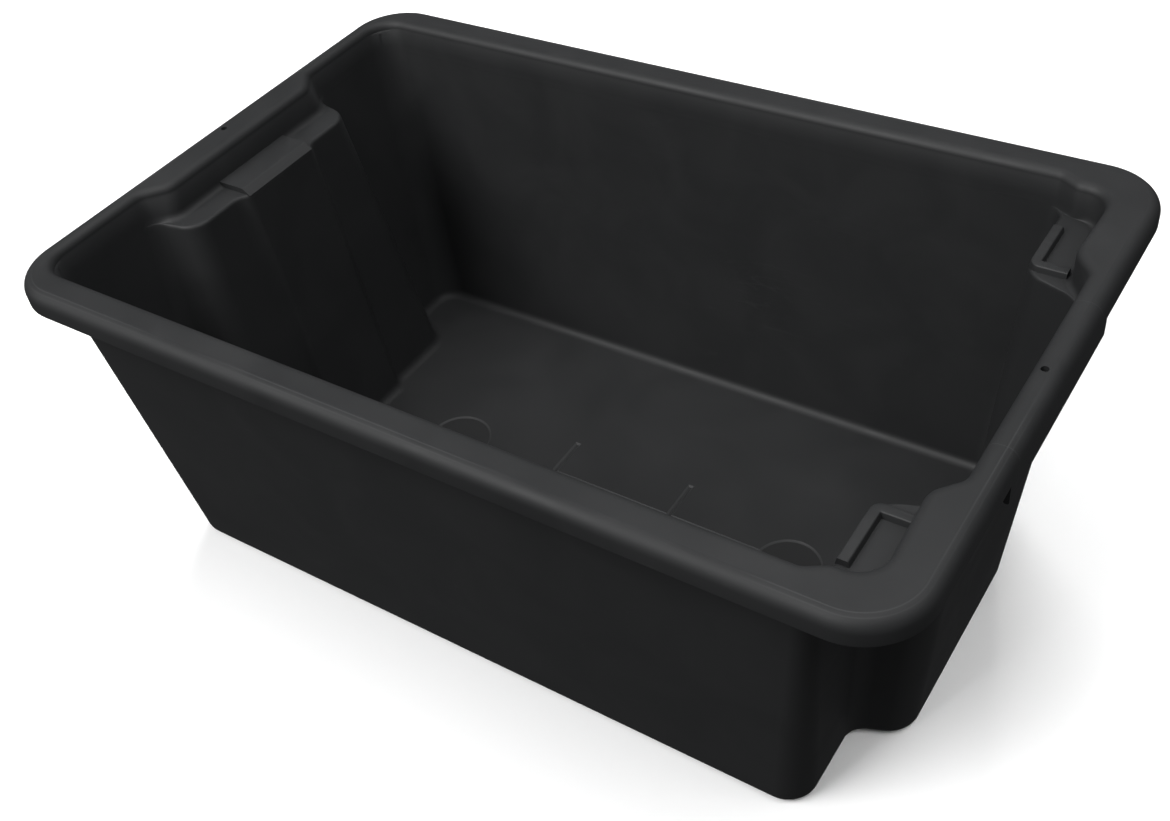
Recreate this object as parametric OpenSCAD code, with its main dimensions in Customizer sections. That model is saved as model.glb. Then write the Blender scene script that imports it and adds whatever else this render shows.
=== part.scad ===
// Stack-and-nest mixing tub: one plastic moulding, drawn as named regions that meet face to face.
// Millimetres. Origin at the bottom centre, X along the length (post end is +X), Y across, Z up.

/* [Size] */
// Length over the rim
length = 610; // [590:1:630]
// Width over the rim
width = 397; // [385:1:410]
// Height from the ground to the top of the rim
height = 248.5; // [240:0.5:258]

/* [Wall] */
// Thickness of walls, rim and ledges
wall = 3; // [2.8:0.1:3.2]
// Thickness of the floor
floor_t = 4; // [3.6:0.1:4.4]
// Radius around the outside of the floor
foot_r = 8; // [7:0.5:9]

/* [Rim] */
// Corner radius of the rim in plan
rim_r = 40; // [36:1:44]
// Radius over the outer edge of the rim
rim_edge = 8; // [7:0.5:8.5]
// Depth of the skirt below the rim top
skirt = 16.5; // [14:0.5:18]
// Depth of the skirt at the two handles
grip_skirt = 28.5; // [24:0.5:32]
// Diameter of the hole in each handle
hole_d = 4.5; // [4:0.1:5]

/* [Stacking] */
// Depth of the stacking level below the rim top
rest_drop = 19.5; // [18:0.5:21]
// Height of the raised ribs and pad above their ledges
rib_h = 4; // [3:0.5:4.5]
// Width of the ledge ribs
rib_w = 6; // [5:0.5:7]

/* [Floor] */
// Depth of the shallow recesses in the floor
relief = 1.2; // [0.8:0.1:1.5]
// Distance of the two oval recesses from the middle
oval_x = 141; // [130:1:150]

/* [Hidden] */
$fn = 48;

hl = length / 2;
hw = width / 2;
ledge_z = height - rest_drop - rib_h;
neck_z = ledge_z - wall;
lip = 6;
deck = height - wall;
inner_r = 6;

// how far each face of the body stands in from the rim line at the ground, and its lean per mm up
side_in = 42.2;
side_lean = 0.082;
left_in = 39.4;
left_lean = 0.114;
post_in = 39;
post_lean = 0.1;
pillar_in = 71;
pillar_lean = 0.074;
panel_in = 74.4;
panel_lean = 0.115;

// half spans across the two ends at the ground, and their change per mm of height
post_span = 77.5;
notch_span = 90.5;
notch_lean = 0.066;
shoulder_span = 115;
shoulder_lean = 0.14;
recess_span = 93.5;
recess_lean = 0.074;
panel_span = 38;
key_span = 31;
key_depth = 6;
left_mark = 130;
left_mark_lean = 0.1;

// corner radii of the body
corner_r = 22;
pillar_r = 20;
pillar_tighten = 0.036;
notch_r = 14;
shoulder_r = 14;
recess_r = 14;
panel_r = 14;
key_r = 5;

// the neck above the ledges
bulge = 7.5;
bulge_start = 62;
bulge_full = 49;
pocket_in = 25.2;
pocket_r = 19;
waist_in = 27.5;
waist_span = 105;
waist_r = 12;
grip_span = 90;
grip_end = 72;
shelf_depth = 14;
shelf_span = 69;
shelf_end = 60;
shelf_shoulder = 86;
shelf_lean = 0.26;
shelf_shoulder_lean = 0.08;

// holes through the grips, in from the rim line
hole_in = 10.8;

// stacking pad and ribs
pad_span = 33;
pad_slope = 6;
rib_reach = 24;
rib_outer = 150;
rib_inner = 106;

// floor recesses
oval_r = 24.5;
oval_stretch = 8;
channel_w = 26;
cross_w = 5;
cross_l = 90;
cross_x = [-57, 42];

// planes of the body at height z, all leaning outward as they rise
function side(z) = hw - side_in + side_lean * z;
function left_x(z) = -(hl - left_in + left_lean * z);
function post_x(z) = hl - post_in + post_lean * z;
function pillar_x(z) = hl - pillar_in + pillar_lean * z;
function panel_x(z) = -(hl - panel_in + panel_lean * z);
function mark_y(z) = -(left_mark - left_mark_lean * z);
function notch_y(z) = -(notch_span + notch_lean * z);
function post_y(z) = -(post_span + notch_lean * z);
function shoulder_y(z) = -(shoulder_span - shoulder_lean * z);
function recess_y(z) = -(recess_span - recess_lean * z);

// plan of the body at height z: x, y, radius, steps, bend (1 out, -1 in), rim side
function half_body(z) = [
    [left_x(z), mark_y(z), 0, 0, 0, 4],
    [left_x(z), -side(z), corner_r, 8, 1, 0],
    [left_x(z) + 36, -side(z), 0, 0, 0, 1],
    [pillar_x(z) - 24, -side(z), 0, 0, 0, 1],
    [pillar_x(z), -side(z), pillar_r - pillar_tighten * z, 8, 1, 0],
    [pillar_x(z), notch_y(z), notch_r, 6, -1, 2],
    [(pillar_x(z) + post_x(z)) / 2, (notch_y(z) + post_y(z)) / 2, 0, 0, 0, 2],
    [post_x(z), post_y(z), pillar_r, 6, 1, 2]
];
function left_half_body(z) = [
    [panel_x(z) + key_depth, -key_span, key_r, 4, -1, 4],
    [panel_x(z), -panel_span, panel_r, 4, 1, 4],
    [panel_x(z), recess_y(z), recess_r, 6, -1, 4],
    [left_x(z), shoulder_y(z), shoulder_r, 6, 1, 4]
];

// plan of the neck above the ledges, same planes where there is no ledge
function half_neck(z) = [
    [left_x(z), mark_y(z), 0, 0, 0, 4],
    [left_x(z), -side(z), corner_r, 10, 1, 0],
    [left_x(z) + 36, -side(z), 0, 0, 0, 1],
    [pillar_x(z) - 24, -side(z), 0, 0, 0, 1],
    [hl - bulge_start, -side(z), waist_r, 4, 1, 1],
    [hl - bulge_full, bulge - side(z), 8, 4, -1, 1],
    [hl - pocket_in, bulge - side(z), pocket_r, 10, 1, 0],
    [hl - waist_in, -waist_span, waist_r, 5, -1, 2],
    [post_x(z), -grip_span, notch_r, 5, 1, 2],
    [post_x(z), -grip_end, 0, 0, 0, 2]
];
function left_half_neck(z) = [
    [left_x(z) + shelf_depth, -shelf_end, 0, 0, 0, 4],
    [left_x(z) + shelf_depth, -shelf_span - shelf_lean * (height - z), waist_r, 5, -1, 4],
    [left_x(z), -shelf_shoulder - shelf_shoulder_lean * (height - z), notch_r, 5, 1, 4]
];

function flip(v) = [v[0], -v[1], v[2], v[3], v[4], v[5] == 1 ? 3 : v[5]];
function back(h) = [for (i = [len(h) - 1:-1:0]) flip(h[i])];
function body(z) = concat(half_body(z), back(half_body(z)), back(left_half_body(z)), left_half_body(z));
function neck(z) = concat(half_neck(z), back(half_neck(z)), back(left_half_neck(z)), left_half_neck(z));

// corner b of the path a-b-c rounded to radius r, as n + 1 points
function arc(a, b, c, r, n) =
    let (u = (a - b) / norm(a - b), w = (c - b) / norm(c - b), h = acos(u * w) / 2,
         o = b + (u + w) / norm(u + w) * r / sin(h), p = b + u * r / tan(h) - o,
         q = b + w * r / tan(h) - o, a0 = atan2(p[1], p[0]),
         turn = (atan2(q[1], q[0]) - a0 + 540) % 360 - 180)
    [for (i = [0:n]) o + r * [cos(a0 + turn * i / n), sin(a0 + turn * i / n)]];

// the plan moved inward by d, sides kept parallel
function inset(v, d) =
    let (m = len(v))
    [for (i = [0:m - 1])
        let (a = v[(i + m - 1) % m], b = v[i], c = v[(i + 1) % m],
             u = (b - a) / norm(b - a), w = (c - b) / norm(c - b),
             s = [-u[1], u[0]], t = [-w[1], w[0]])
        b + d * (s + t) / (1 + s * t)];

// one rounded outline of plan v, moved inward by d: a list per corner
function corners(v, d) =
    let (m = len(v), p = inset([for (c = v) [c[0], c[1]]], d))
    [for (i = [0:m - 1]) v[i][3] == 0 ? [p[i]] :
        arc(p[(i + m - 1) % m], p[i], p[(i + 1) % m], v[i][2] - v[i][4] * d, v[i][3])];
function flat(l) = [for (a = l) each a];
function outline(v, d) = flat(corners(v, d));
function lift(l, z) = [for (p = l) [p[0], p[1], z]];

// the outer rim line moved inward by e, with one point for each point of the neck line
function rim_point(p, s, e) =
    s == 1 ? [p[0], e - hw] : s == 3 ? [p[0], hw - e] : s == 2 ? [hl - e, p[1]] : [e - hl, p[1]];
function rim_corner(v, e) =
    let (sx = sign(v[0]), sy = sign(v[1]), n = v[3],
         a0 = sx < 0 ? (sy < 0 ? 180 : 90) : (sy < 0 ? 270 : 0))
    [for (i = [0:n]) [sx * (hl - rim_r), sy * (hw - rim_r)]
        + (rim_r - e) * [cos(a0 + 90 * i / n), sin(a0 + 90 * i / n)]];
function rim_line(e) =
    let (v = neck(height), c = corners(v, 0))
    flat([for (i = [0:len(v) - 1])
        v[i][5] == 0 ? rim_corner(v[i], e) : [for (p = c[i]) rim_point(p, v[i][5], e)]]);

// closed strip between two stacks of outlines, from point i0 to point i1 of each
module strip(a, b, i0, i1) {
    n = len(a[0]);
    k = len(a);
    m = i1 - i0 + 1;
    pts = [for (i = [i0:i1]) each concat([for (r = a) r[i % n]], [for (j = [k - 1:-1:0]) b[j][i % n]])];
    w = 2 * k;
    skin = [for (i = [0:m - 2]) for (j = [0:w - 1])
        let (p = i * w + j, q = i * w + (j + 1) % w)
        each [[p, p + w, q + w], [p, q + w, q]]];
    caps = [for (j = [0:k - 2])
        let (p = j, q = j + 1, r = w - 2 - j, s = w - 1 - j, e = (m - 1) * w)
        each [[p, q, r], [p, r, s], [e + p, e + r, e + q], [e + p, e + s, e + r]]];
    polyhedron(points = pts, faces = concat(skin, caps));
}

function at(v, i) = i == 0 ? 0 : v[i - 1][3] + 1 + at(v, i - 1);
body0 = body(0);
neck0 = neck(height);
nb = at(body0, len(body0));
nn = at(neck0, len(neck0));

// outer and inner faces of the body wall, as inward offset, height and height of the plan used
outer_face = concat(
    [[foot_r + 4, 0, 0]],
    [for (a = [0:30:90]) [foot_r * (1 - sin(a)), foot_r * (1 - cos(a)), foot_r * (1 - cos(a))]],
    [[0, neck_z, neck_z]]);
inner_face = concat(
    [[foot_r + 4, floor_t, 0]],
    [for (a = [0:30:90]) let (z = floor_t + inner_r * (1 - cos(a))) [wall + inner_r * (1 - sin(a)), z, z]],
    [[wall, neck_z, neck_z]]);
function stack(face) = [for (f = face) lift(outline(body(f[2]), f[0]), f[1])];
body_out = stack(outer_face);
body_in = stack(inner_face);

module wall_strip(c0, c1)
    strip(body_out, body_in, at(body0, c0), at(body0, c1 % len(body0)) + (c1 >= len(body0) ? nb : 0));

// top and underside of the neck and rim; the last two entries are the skirt
function neck_line(d, z) = lift(outline(neck(z), d), z);
function rim_top(s) = concat(
    [neck_line(wall, neck_z)],
    [for (a = [0:30:90]) neck_line(wall - lip + lip * cos(a), height - lip + lip * sin(a))],
    [for (a = [0:30:90]) lift(rim_line(rim_edge * (1 - sin(a))), height - rim_edge * (1 - cos(a)))],
    [lift(rim_line(0), height - s)]);
function rim_under(s) =
    let (f = lip - wall, g = rim_edge - wall)
    concat(
        [neck_line(0, neck_z)],
        [for (a = [0:30:90]) neck_line(-f + f * cos(a), height - lip + f * sin(a))],
        [for (a = [0:30:90]) lift(rim_line(rim_edge - g * sin(a)), deck - g * (1 - cos(a)))],
        [lift(rim_line(wall), height - s)]);
module rim_strip(c0, c1, s)
    strip(rim_under(s), rim_top(s),
        at(neck0, c0), at(neck0, c1 % len(neck0)) + (c1 >= len(neck0) ? nn : 0));

// plan between the body wall and the neck wall, inner faces, from one corner to another
function between(b0, b1, n0, n1) =
    let (b = corners(body(neck_z), wall), n = corners(neck(neck_z), wall))
    concat(flat([for (i = [b0:b1]) b[i]]),
        [for (i = [n1:-1:n0]) for (j = [len(n[i]) - 1:-1:0]) n[i][j]]);

module oval_recess(x) translate([x, 0, 0]) {
    for (s = [-1, 1]) translate([0, s * oval_stretch, 0]) cylinder(h = relief + 1, r = oval_r);
    translate([-oval_r, -oval_stretch, 0]) cube([2 * oval_r, 2 * oval_stretch, relief + 1]);
}
module floor_panel() color("#2b2c2e") difference() {
    linear_extrude(floor_t) polygon(outline(body(0), foot_r + 4));
    translate([0, 0, floor_t - relief]) {
        for (s = [-1, 1]) oval_recess(s * oval_x);
        translate([cross_x[0], -channel_w / 2, 0]) cube([oval_x - cross_x[0] - 20, channel_w, relief + 1]);
        for (x = cross_x) translate([x, -cross_l / 2, 0]) cube([cross_w, cross_l, relief + 1]);
    }
}

module front_wall() color("#303133") wall_strip(0, 3);
module back_wall() color("#303133") mirror([0, 1, 0]) wall_strip(0, 3);
module left_end_wall() color("#2d2e30") wall_strip(15, 24);
module right_post() color("#2d2e30") wall_strip(6, 9);
module front_pillar() color("#333436") wall_strip(3, 6);
module back_pillar() color("#333436") mirror([0, 1, 0]) wall_strip(3, 6);

module stacking_shelf() color("#3a3b3d") {
    translate([0, 0, neck_z]) linear_extrude(wall) polygon(between(16, 23, 20, 25));
    x0 = left_x(neck_z) + shelf_depth + wall;
    x1 = panel_x(neck_z) + key_depth + wall;
    translate([0, pad_span, ledge_z]) rotate([90, 0, 0]) linear_extrude(2 * pad_span)
        polygon([[x0, 0], [x1, 0], [x1 - 0.3 * pad_slope, 0.62 * rib_h],
                 [x1 - pad_slope, rib_h], [x0, rib_h]]);
}

module ledge() {
    translate([0, 0, neck_z]) linear_extrude(wall) polygon(between(4, 7, 4, 8));
    intersection() {
        translate([0, 0, ledge_z]) linear_extrude(rib_h) polygon(between(4, 7, 4, 8));
        translate([pillar_x(neck_z) - 2, -rib_outer, ledge_z]) difference() {
            cube([rib_reach, rib_outer - rib_inner, rib_h]);
            translate([rib_w, -1, -1]) cube([rib_reach, rib_outer - rib_inner - rib_w + 1, rib_h + 2]);
        }
    }
}
module front_ledge() color("#3a3b3d") ledge();
module back_ledge() color("#3a3b3d") mirror([0, 1, 0]) ledge();

module grip_hole(x) translate([x, 0, height - 12]) cylinder(h = 20, d = hole_d);
module rim_front() color("#38393b") rim_strip(23, 35, skirt);
module rim_back() color("#38393b") mirror([0, 1, 0]) rim_strip(23, 35, skirt);
module left_handle() color("#3d3e40") difference() {
    rim_strip(22, 23, grip_skirt);
    grip_hole(hole_in - hl);
}
module right_handle() color("#3d3e40") difference() {
    rim_strip(9, 10, grip_skirt);
    grip_hole(hl - hole_in);
}

floor_panel();
front_wall();
back_wall();
left_end_wall();
right_post();
front_pillar();
back_pillar();
stacking_shelf();
front_ledge();
back_ledge();
rim_front();
rim_back();
left_handle();
right_handle();
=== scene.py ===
import math
import bmesh
import bpy
import numpy as np
from mathutils import Matrix, Vector
from mathutils.geometry import delaunay_2d_cdt


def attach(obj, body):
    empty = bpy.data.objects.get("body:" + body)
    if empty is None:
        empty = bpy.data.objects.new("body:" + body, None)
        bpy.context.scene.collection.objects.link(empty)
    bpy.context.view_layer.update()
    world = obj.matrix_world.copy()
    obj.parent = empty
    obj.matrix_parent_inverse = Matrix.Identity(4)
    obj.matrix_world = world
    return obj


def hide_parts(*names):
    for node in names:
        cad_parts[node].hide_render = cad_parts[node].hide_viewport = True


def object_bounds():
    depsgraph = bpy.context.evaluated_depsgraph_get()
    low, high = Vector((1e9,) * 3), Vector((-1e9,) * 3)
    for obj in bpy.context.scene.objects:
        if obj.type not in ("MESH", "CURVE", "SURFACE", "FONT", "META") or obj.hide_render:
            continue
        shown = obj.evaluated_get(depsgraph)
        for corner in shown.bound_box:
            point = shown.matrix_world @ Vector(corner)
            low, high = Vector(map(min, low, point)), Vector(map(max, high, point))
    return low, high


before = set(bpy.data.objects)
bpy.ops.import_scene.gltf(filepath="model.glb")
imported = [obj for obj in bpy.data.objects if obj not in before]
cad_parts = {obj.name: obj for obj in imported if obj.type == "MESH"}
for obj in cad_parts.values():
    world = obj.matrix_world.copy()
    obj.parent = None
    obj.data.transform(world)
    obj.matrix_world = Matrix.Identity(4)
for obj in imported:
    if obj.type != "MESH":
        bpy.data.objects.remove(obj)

cadLow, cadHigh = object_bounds()
mm = 0.001
scene = bpy.context.scene
print("frame loaded:", len(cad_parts), "moulded regions")

# everything below is worked out in millimetres and scaled when a mesh is made
tub = {
    "halfLength": cadHigh.x / mm,
    "halfWidth": cadHigh.y / mm,
    "height": cadHigh.z / mm,
    "wall": 3.0,
    "floorThickness": 4.0,
    "footRadius": 8.0,
    "insideRadius": 6.0,
    "rimCorner": 40.0,
    "rimEdge": 8.0,
    "lip": 6.0,
    "deckJoin": 8.0,       # where the rolled rim takes over from the flat deck
    "ledgeTop": 225.0,
    "ledgeEdge": 2.4,      # rounding over the inner edge of the ledges
    "ledgeRoot": 4.0,      # hollow rounding where a ledge meets the neck
    "undersideRoot": 3.0,
}
hl, hw, top = tub["halfLength"], tub["halfWidth"], tub["height"]
ledgeUnder = tub["ledgeTop"] - tub["wall"]


# how far each face stands in from the rim line at the ground, and its lean per millimetre up
setback = {
    "sideIn": 42.2, "sideLean": 0.082,
    "leftIn": 39.4, "leftLean": 0.114,
    "postIn": 39.0, "postLean": 0.1,
    "pillarIn": 71.0, "pillarLean": 0.074,
    "insetIn": 74.4, "insetLean": 0.115,
}

# half spans across the two ends at the ground, their change per millimetre up, and corner radii
ends = {
    "keySpan": 31.0, "keyDepth": 6.0, "keyRound": 5.0,
    "panelSpan": 38.0, "panelRound": 14.0,
    "recessSpan": 93.5, "recessLean": 0.074, "recessRound": 14.0,
    "shoulderSpan": 115.0, "shoulderLean": 0.14, "shoulderRound": 14.0,
    "notchSpan": 90.5, "notchRound": 14.0,
    "postSpan": 77.5, "postRound": 20.0, "rightLean": 0.066,
    "cornerRound": 22.0, "pillarRound": 20.0, "pillarTighten": 0.036,
}

# the neck above the ledges; spreads are per millimetre below the lip
neck = {
    "shelfDepth": 14.0, "shelfSpan": 69.0, "shelfSpread": 0.34, "shelfRound": 12.0,
    "shoulderSpan": 86.0, "shoulderSpread": 0.103, "shoulderRound": 14.0,
    "bulge": 7.5, "bulgeStart": 62.0, "bulgeFull": 49.0, "startRound": 12.0, "fullRound": 8.0,
    "pocketIn": 25.2, "pocketRound": 19.0,
    "waistIn": 27.5, "waistSpan": 105.0, "waistRound": 12.0,
    "gripSpan": 90.0, "gripRound": 14.0,
}


def sideY(z):
    return hw - setback["sideIn"] + setback["sideLean"] * z


def leftX(z):
    return -(hl - setback["leftIn"] + setback["leftLean"] * z)


def postX(z):
    return hl - setback["postIn"] + setback["postLean"] * z


def pillarX(z):
    return hl - setback["pillarIn"] + setback["pillarLean"] * z


def insetX(z):
    return -(hl - setback["insetIn"] + setback["insetLean"] * z)


# half plans run from the middle of the left end, round the front, to the middle of the right end
# each corner: x, y, radius, bend (1 bulges out, -1 turns in)
def bodyPlan(z):
    e = ends
    return [
        (insetX(z) + e["keyDepth"], 0, 0, 0),
        (insetX(z) + e["keyDepth"], -e["keySpan"], e["keyRound"], -1),
        (insetX(z), -e["panelSpan"], e["panelRound"], 1),
        (insetX(z), -(e["recessSpan"] - e["recessLean"] * z), e["recessRound"], -1),
        (leftX(z), -(e["shoulderSpan"] - e["shoulderLean"] * z), e["shoulderRound"], 1),
        (leftX(z), -sideY(z), e["cornerRound"], 1),
        (pillarX(z), -sideY(z), e["pillarRound"] - e["pillarTighten"] * z, 1),
        (pillarX(z), -(e["notchSpan"] + e["rightLean"] * z), e["notchRound"], -1),
        (postX(z), -(e["postSpan"] + e["rightLean"] * z), e["postRound"], 1),
        (postX(z), 0, 0, 0),
    ]


def neckPlan(z):
    k = neck
    low = max(0.0, top - tub["lip"] - z)
    return [
        (leftX(z) + k["shelfDepth"], 0, 0, 0),
        (leftX(z) + k["shelfDepth"], -k["shelfSpan"] - k["shelfSpread"] * low, k["shelfRound"], -1),
        (leftX(z), -k["shoulderSpan"] - k["shoulderSpread"] * low, k["shoulderRound"], 1),
        (leftX(z), -sideY(z), ends["cornerRound"], 1),
        (hl - k["bulgeStart"], -sideY(z), k["startRound"], 1),
        (hl - k["bulgeFull"], k["bulge"] - sideY(z), k["fullRound"], -1),
        (hl - k["pocketIn"], k["bulge"] - sideY(z), k["pocketRound"], 1),
        (hl - k["waistIn"], -k["waistSpan"], k["waistRound"], -1),
        (postX(z), -k["gripSpan"], k["gripRound"], 1),
        (postX(z), 0, 0, 0),
    ]


def shifted(points, d):
    # the open line moved inward by d, its stretches kept parallel
    points = [np.array(p, float) for p in points]
    ways = [(b - a) / np.linalg.norm(b - a) for a, b in zip(points, points[1:])]
    sides = [np.array([-w[1], w[0]]) for w in ways]
    out = [points[0] + d * sides[0]]
    for p, s, t in zip(points[1:-1], sides, sides[1:]):
        out.append(p + d * (s + t) / (1 + s @ t))
    out.append(points[-1] + d * sides[-1])
    return out


def roundCorner(a, b, c, radius, steps=32):
    u, w = (a - b) / np.linalg.norm(a - b), (c - b) / np.linalg.norm(c - b)
    half = math.acos(u @ w) / 2
    middle = b + (u + w) / np.linalg.norm(u + w) * radius / math.sin(half)
    p, q = b + u * radius / math.tan(half) - middle, b + w * radius / math.tan(half) - middle
    first = math.atan2(p[1], p[0])
    turn = (math.atan2(q[1], q[0]) - first + 3 * math.pi) % (2 * math.pi) - math.pi
    angle = first + turn * np.linspace(0, 1, steps + 1)
    return middle + radius * np.stack([np.cos(angle), np.sin(angle)], 1)


def cornerArcs(plan, d):
    # start point, the arc of each corner, end point
    p = shifted([c[:2] for c in plan], d)
    arcs = [p[0][None]]
    for i in range(1, len(plan) - 1):
        arcs.append(roundCorner(p[i - 1], p[i], p[i + 1], plan[i][2] - plan[i][3] * d))
    arcs.append(p[-1][None])
    return arcs


def spread(line, count, ease=1.0):
    # count points along a line, without its last one; ease above 1 crowds them at the start
    line = np.vstack(line)
    run = np.concatenate([[0], np.cumsum(np.linalg.norm(np.diff(line, axis=0), axis=1))])
    at = run[-1] * np.linspace(0, 1, count + 1)[:-1] ** ease
    return np.stack([np.interp(at, run, line[:, k]) for k in (0, 1)], 1)


# how many points each leg of the half plan gets
legCount = [8, 14, 5, 36, 5, 16, 44, 16, 24, 12, 24, 16, 18]
legStart = np.concatenate([[0], np.cumsum(legCount)])
neckEase = {3: 1.6}     # crowds the neck's points by the shelf, to match the end face below it
pillarShare = 27      # of the 32 steps of the pillar corner, these face the step out of the neck
pillarPast = 7.5      # and this length past that corner faces the corner of the neck
meet = cornerArcs(bodyPlan(ledgeUnder), 0)
meetY = {
    "shelfStart": meet[1][0][1], "shelfTurn": -46.0,
    "leftEnd": meet[4][-1][1], "postEnd": meet[8][-1][1],
}
meetX = meet[6][0][0]


def closed(half):
    # the front half and its mirror image as one loop
    back = half[1:-1][::-1] * np.array([1, -1])
    return np.vstack([half, back])


def bodyLine(d, z):
    a = cornerArcs(bodyPlan(z), d)
    share, past = pillarShare, a[6][-1:] + np.array([0, pillarPast])
    legs = [
        [a[0], a[1][:1]],
        [a[1], a[2]],
        [a[2][-1:], a[3][:1]],
        [a[3], a[4]],
        [a[4][-1:], a[5][:1]],
        [a[5]],
        [a[5][-1:], a[6][:1]],
        [a[6][:share + 1]],
        [a[6][share:], past],
        [past, a[7][:1]],
        [a[7], a[8][:1]],
        [a[8]],
        [a[8][-1:], a[9]],
    ]
    return closed(np.vstack([spread(leg, n) for leg, n in zip(legs, legCount)] + [a[9]]))


def neckHalf(d, z):
    a = cornerArcs(neckPlan(z), d)
    x0, x1, y0 = a[0][0][0], a[9][0][0], a[3][-1][1]

    def left(name):
        return np.array([[x0 if name in ("shelfStart", "shelfTurn") else a[3][0][0], meetY[name]]])

    low, turn, leftEnd = left("shelfStart"), left("shelfTurn"), left("leftEnd")
    pillar = np.array([[meetX, y0]])
    post = np.array([[x1, meetY["postEnd"]]])
    legs = [
        [a[0], low],
        [low, turn],
        [turn, a[1][:1]],
        [a[1], a[2], leftEnd],
        [leftEnd, a[3][:1]],
        [a[3]],
        [a[3][-1:], pillar],
        [pillar, a[4], a[5], a[6][:1]],
        [a[6]],
        [a[6][-1:], a[7][:1]],
        [a[7], a[8][:1]],
        [a[8], post],
        [post, a[9]],
    ]
    eases = [neckEase.get(k, 1.0) for k in range(len(legs))]
    return np.vstack([spread(leg, n, e) for leg, n, e in zip(legs, legCount, eases)] + [a[9]])


def neckLine(d, z):
    return closed(neckHalf(d, z))


deckHalf = neckHalf(tub["wall"] - tub["lip"], top)


def rimHalf(e):
    # the outer line of the rim moved inward by e, point for point with the neck
    r = tub["rimCorner"]
    p = deckHalf.copy()
    s = legStart
    ramp = [np.linspace(0, 1, n, endpoint=False) for n in legCount]
    p[:s[5], 0] = e - hl
    p[s[4]:s[5], 1] = meetY["leftEnd"] + ramp[4] * (r - hw - meetY["leftEnd"])
    p[s[6]:s[8], 1] = e - hw
    p[s[6]:s[7], 0] = r - hl + ramp[6] * (meetX + hl - r)
    p[s[7]:s[8], 0] = meetX + ramp[7] * (hl - r - meetX)
    p[s[9]:, 0] = hl - e
    p[s[9]:s[10], 1] = r - hw + ramp[9] * (p[s[10], 1] - r + hw)
    for leg, sx, a0 in ((5, -1, math.pi), (8, 1, 1.5 * math.pi)):
        angle = a0 + ramp[leg] * math.pi / 2
        middle = np.array([sx * (hl - r), r - hw])
        p[s[leg]:s[leg + 1]] = middle + (r - e) * np.stack([np.cos(angle), np.sin(angle)], 1)
    return p


def rimLine(e):
    return closed(rimHalf(e))


def row(line, z):
    return np.column_stack([line, np.full(len(line), z)])


def quarter(count):
    return np.linspace(0, math.pi / 2, count + 1)


def meshFrom(name, points, faces, material):
    mesh = bpy.data.meshes.new(name)
    mesh.from_pydata((np.asarray(points) * mm).tolist(), [], faces)
    piece = bpy.data.objects.new(name, mesh)
    scene.collection.objects.link(piece)
    mesh.materials.append(material)
    return piece


sharpAngle = math.radians(32)     # an edge that bends more than this is drawn sharp


def smoothPiece(piece):
    mesh = piece.data
    mesh.polygons.foreach_set("use_smooth", [True] * len(mesh.polygons))
    mesh.set_sharp_from_angle(angle=sharpAngle)


def volumeOf(mesh):
    bm = bmesh.new()
    bm.from_mesh(mesh)
    size = bm.calc_volume(signed=True)
    loose = sum(not e.is_manifold for e in bm.edges)
    bm.free()
    return size, loose


# shader effects shared by the plastics
def newGroup(name, inputs, outputs):
    tree = bpy.data.node_groups.new(name, "ShaderNodeTree")
    for key, value in inputs.items():
        tree.interface.new_socket(key, in_out="INPUT", socket_type="NodeSocketFloat").default_value = value
    for key in outputs:
        tree.interface.new_socket(key, in_out="OUTPUT", socket_type="NodeSocketFloat")
    return tree, tree.nodes.new("NodeGroupInput"), tree.nodes.new("NodeGroupOutput")


def feed(tree, value, socket):
    if isinstance(value, bpy.types.NodeSocket):
        tree.links.new(value, socket)
    else:
        socket.default_value = value


def sums(tree, operation, a, b=0.0, c=None, clamp=False):
    node = tree.nodes.new("ShaderNodeMath")
    node.operation, node.use_clamp = operation, clamp
    feed(tree, a, node.inputs[0])
    feed(tree, b, node.inputs[1])
    if c is not None:
        feed(tree, c, node.inputs[2])
    return node.outputs[0]


def fade(tree, value, low, high, toLow=0.0, toHigh=1.0):
    node = tree.nodes.new("ShaderNodeMapRange")
    node.interpolation_type = "SMOOTHSTEP"
    feed(tree, value, node.inputs["Value"])
    for key, v in (("From Min", low), ("From Max", high), ("To Min", toLow), ("To Max", toHigh)):
        feed(tree, v, node.inputs[key])
    return node.outputs["Result"]


def place(tree, scale=(1, 1, 1), turn=(0, 0, 0)):
    coords = tree.nodes.new("ShaderNodeTexCoord")
    mapping = tree.nodes.new("ShaderNodeMapping")
    mapping.inputs["Scale"].default_value = scale
    mapping.inputs["Rotation"].default_value = turn
    tree.links.new(coords.outputs["Object"], mapping.inputs["Vector"])
    return mapping.outputs["Vector"]


def cloudy(tree, vector, scale, detail=2.0, rough=0.5, distortion=0.0):
    node = tree.nodes.new("ShaderNodeTexNoise")
    tree.links.new(vector, node.inputs["Vector"])
    feed(tree, scale, node.inputs["Scale"])
    node.inputs["Detail"].default_value = detail
    node.inputs["Roughness"].default_value = rough
    node.inputs["Distortion"].default_value = distortion
    return node.outputs["Fac"]


def grainGroup():
    tree, gi, go = newGroup("mouldGrain", {"Scale": 1100.0, "Waviness": 0.3}, ["Height", "Gloss"])
    where = place(tree)
    fine = cloudy(tree, where, gi.outputs["Scale"], 3.0, 0.6)
    broad = cloudy(tree, where, 46.0, 1.0)
    height = sums(tree, "MULTIPLY_ADD", broad, gi.outputs["Waviness"], fine)
    tree.links.new(height, go.inputs["Height"])
    tree.links.new(cloudy(tree, where, 17.0, 3.0, 0.55, 0.6), go.inputs["Gloss"])
    return tree


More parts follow.
